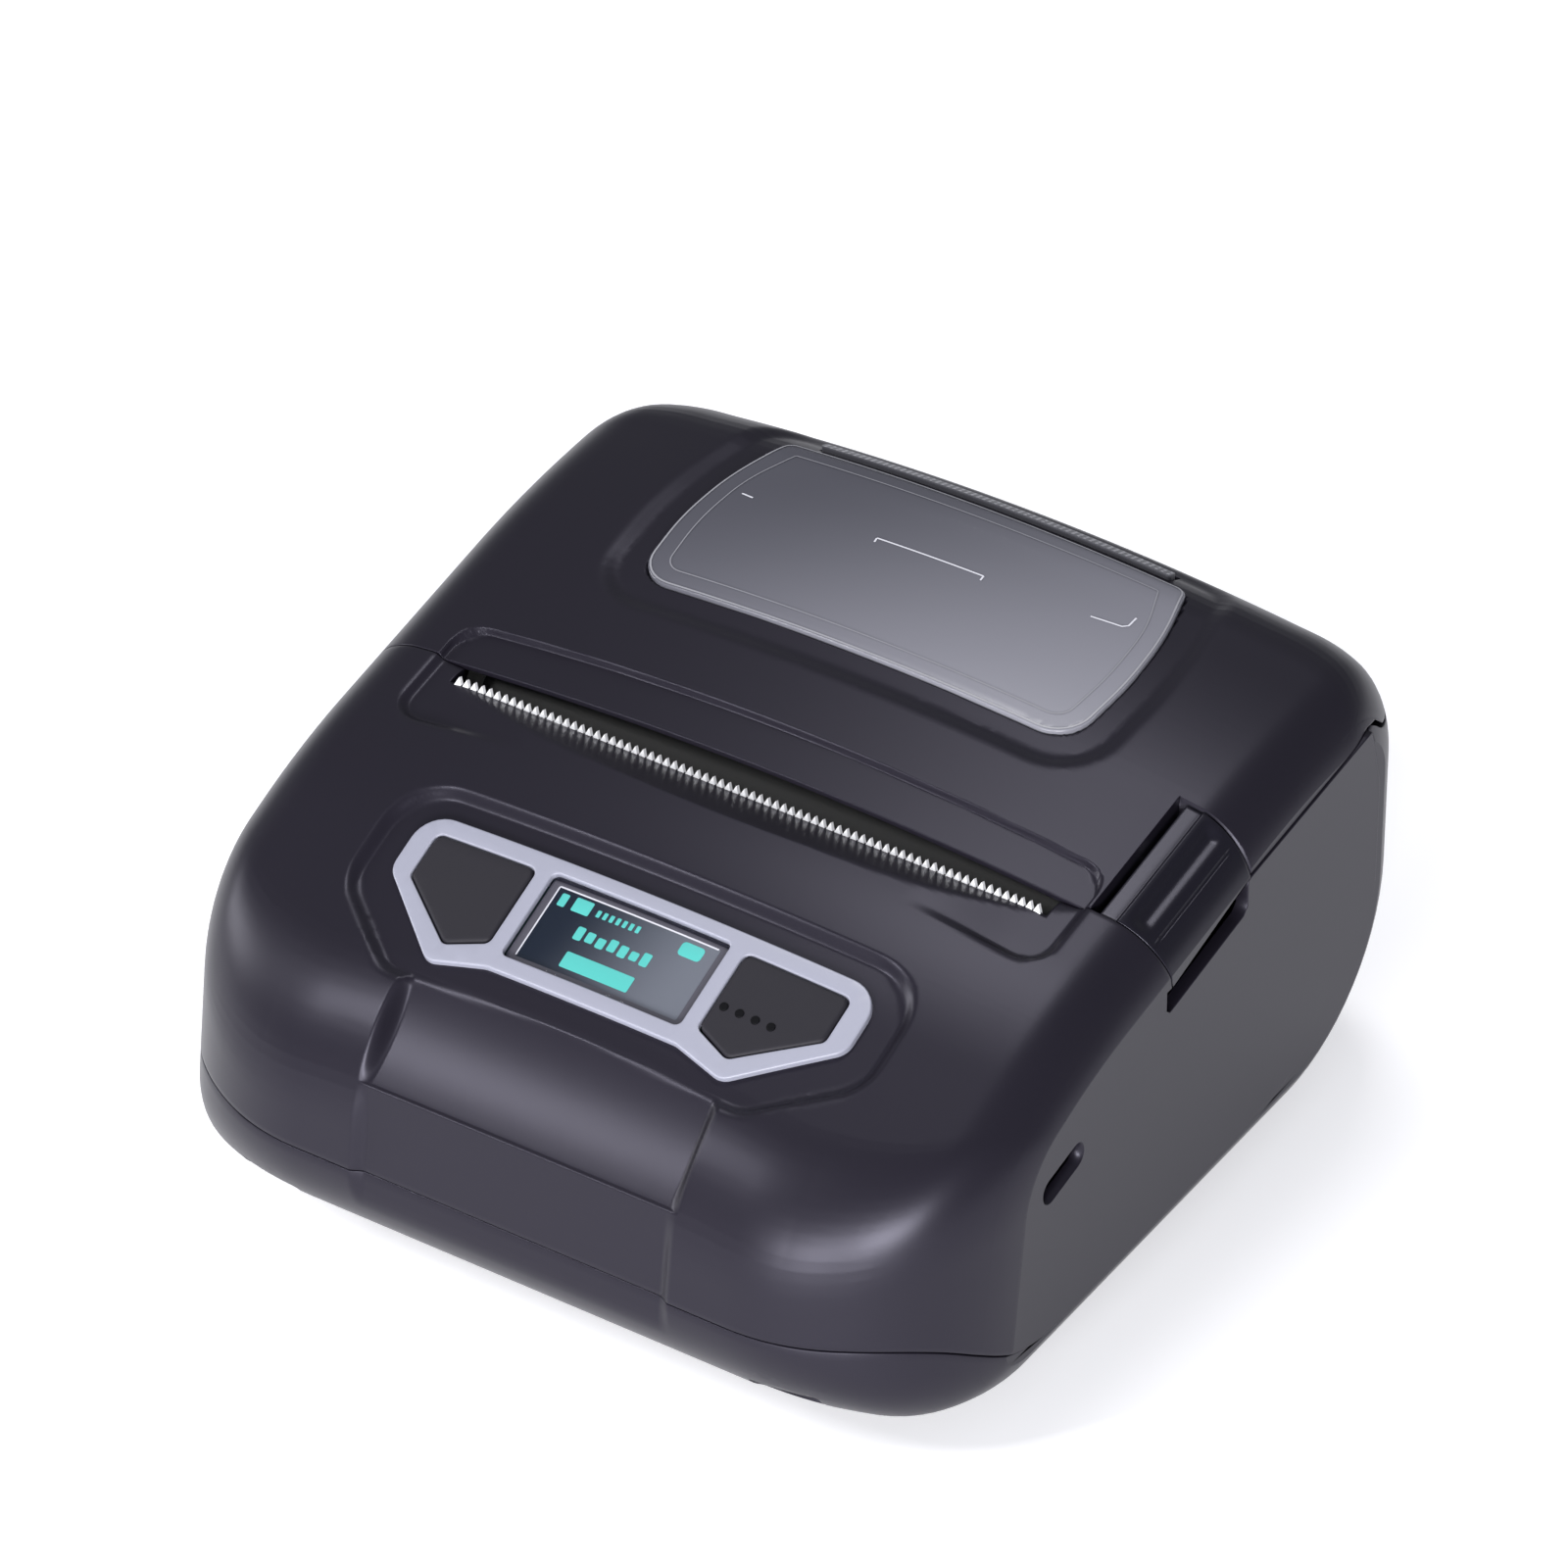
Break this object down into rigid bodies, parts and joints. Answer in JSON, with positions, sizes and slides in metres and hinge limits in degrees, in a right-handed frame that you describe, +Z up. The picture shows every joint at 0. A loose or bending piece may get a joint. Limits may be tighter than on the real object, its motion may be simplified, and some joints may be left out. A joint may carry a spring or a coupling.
{
  "type": "portable label printer",
  "caption": "Mobile label printer with a hinged media lid and window, a release lever, a tear bar, two keys round a small display, and its thermal print mechanism and roll guides inside",
  "frame": {"origin": "middle of the printer's footprint, on the surface that it stands on", "axes": "+X to the printer's right as seen from its key panel, +Y from the key panel to the lid hinge, +Z up"},
  "size_m": [0.1534, 0.1571, 0.0817],
  "materials": {
    "case_plastic": "matt moulded charcoal black",
    "window_plastic": "smoky clear",
    "lens_clear": "clear gloss",
    "display_glass": "dark gloss",
    "inner_plastic": "matt",
    "strip_plastic": "satin light grey",
    "lever_plastic": "smoky satin",
    "bezel_silver": "satin silver lavender",
    "key_rubber": "matt",
    "platen_rubber": "ground",
    "foot_rubber": "matt",
    "guide_plastic": "matt grey",
    "gear_plastic": "natural white",
    "blade_steel": "bright",
    "steel": "ground",
    "spring_steel": "drawn wire",
    "sheet_steel": "zinc plated",
    "socket_steel": "plated",
    "switch_metal": "plated",
    "screw_steel": "blackened",
    "motor_steel": "plated",
    "brass": "machined",
    "aluminium": "extruded",
    "head_ceramic": "glazed",
    "board_laminate": "solder mask",
    "chip_black": "moulded",
    "battery_wrap": "film wrap"
  },
  "bodies": {
    "case": {"bottom_shell": "case_plastic", "upper_housing": "case_plastic", "button_bezel": "bezel_silver", "display_lens": "lens_clear", "display_module": "display_glass", "key_board": "board_laminate", "key_switches": "switch_metal", "tear_bar": "blade_steel", "mechanism_chassis": "sheet_steel", "head_pivot_rod": "steel", "head_springs": "spring_steel", "gear_bracket": "sheet_steel", "idler_axle": "steel", "stepper_motor": "motor_steel", "media_tub": "inner_plastic", "guide_pinion_pin": "steel", "paper_guide": "sheet_steel", "paper_sensor": "chip_black", "main_board": "board_laminate", "board_parts": "chip_black", "usb_port": "socket_steel", "battery_pack": "battery_wrap", "battery_holder": "inner_plastic", "battery_cover": "case_plastic", "cover_screws": "screw_steel", "rubber_feet": "foot_rubber", "housing_screws": "screw_steel", "lid_hinge_pin": "steel"},
    "lid": {"lid_cover": "case_plastic", "lid_window": "window_plastic", "lid_inner_frame": "inner_plastic", "lid_hinge_strip": "strip_plastic", "lid_hinge_spring": "spring_steel", "platen_bushes": "gear_plastic", "lever_pin": "steel", "lever_spring": "spring_steel"},
    "lever": {"release_lever": "lever_plastic", "latch_hook": "steel"},
    "platen": {"platen_roller": "platen_rubber", "platen_shaft": "steel", "platen_gear": "gear_plastic"},
    "idler": {"idler_gear": "gear_plastic"},
    "motor_rotor": {"motor_pinion": "brass", "motor_shaft": "steel"},
    "head": {"print_head": "head_ceramic", "head_heat_sink": "aluminium"},
    "power_button": {"power_key": "key_rubber"},
    "feed_button": {"feed_key": "key_rubber"},
    "left_guide": {"left_media_guide": "guide_plastic"},
    "right_guide": {"right_media_guide": "guide_plastic"},
    "guide_gear": {"guide_pinion": "gear_plastic"}
  },
  "joints": [
    {"name": "lid_hinge", "type": "hinge", "parent": "case", "child": "lid", "pos_m": [0, 0.069, 0.0722], "axis": [-1, 0, 0], "range_deg": [0, 95]},
    {"name": "lever_hinge", "type": "hinge", "parent": "lid", "child": "lever", "pos_m": [0.0652, 0, 0.06615], "axis": [0, -0.9833, -0.1822], "range_deg": [0, 22], "stiffness_Nm_per_rad": 0.05},
    {"name": "platen_turn", "type": "hinge", "parent": "lid", "child": "platen", "pos_m": [0, 0.0038, 0.0595], "axis": [1, 0, 0], "continuous": true},
    {"name": "idler_turn", "type": "hinge", "parent": "case", "child": "idler", "pos_m": [0, 0.00629, 0.03925], "axis": [1, 0, 0], "continuous": true},
    {"name": "motor_turn", "type": "hinge", "parent": "case", "child": "motor_rotor", "pos_m": [0, -0.0036, 0.02469], "axis": [1, 0, 0], "continuous": true},
    {"name": "head_rock", "type": "hinge", "parent": "case", "child": "head", "pos_m": [0, -0.00149, 0.04533], "axis": [1, 0, 0], "range_deg": [0, 4], "stiffness_Nm_per_rad": 2},
    {"name": "power_press", "type": "slide", "parent": "case", "child": "power_button", "axis": [0, 0.3827, -0.9239], "range_m": [0, 0.0007], "stiffness_N_per_m": 400},
    {"name": "feed_press", "type": "slide", "parent": "case", "child": "feed_button", "axis": [0, 0.3827, -0.9239], "range_m": [0, 0.0007], "stiffness_N_per_m": 400},
    {"name": "left_guide_slide", "type": "slide", "parent": "case", "child": "left_guide", "axis": [1, 0, 0], "range_m": [0, 0.035]},
    {"name": "right_guide_slide", "type": "slide", "parent": "case", "child": "right_guide", "axis": [-1, 0, 0], "range_m": [0, 0.035]},
    {"name": "guide_gear_turn", "type": "hinge", "parent": "case", "child": "guide_gear", "pos_m": [0, 0.0415, 0.012], "axis": [0, 0, 1], "range_deg": [0, 502]}
  ],
  "couplings": [
    {"joint": "idler_turn", "follows": "platen_turn", "ratio": -0.45},
    {"joint": "motor_turn", "follows": "platen_turn", "ratio": 1.8},
    {"joint": "right_guide_slide", "follows": "left_guide_slide", "ratio": 1},
    {"joint": "guide_gear_turn", "follows": "left_guide_slide", "rad_per_m": 250}
  ]
}
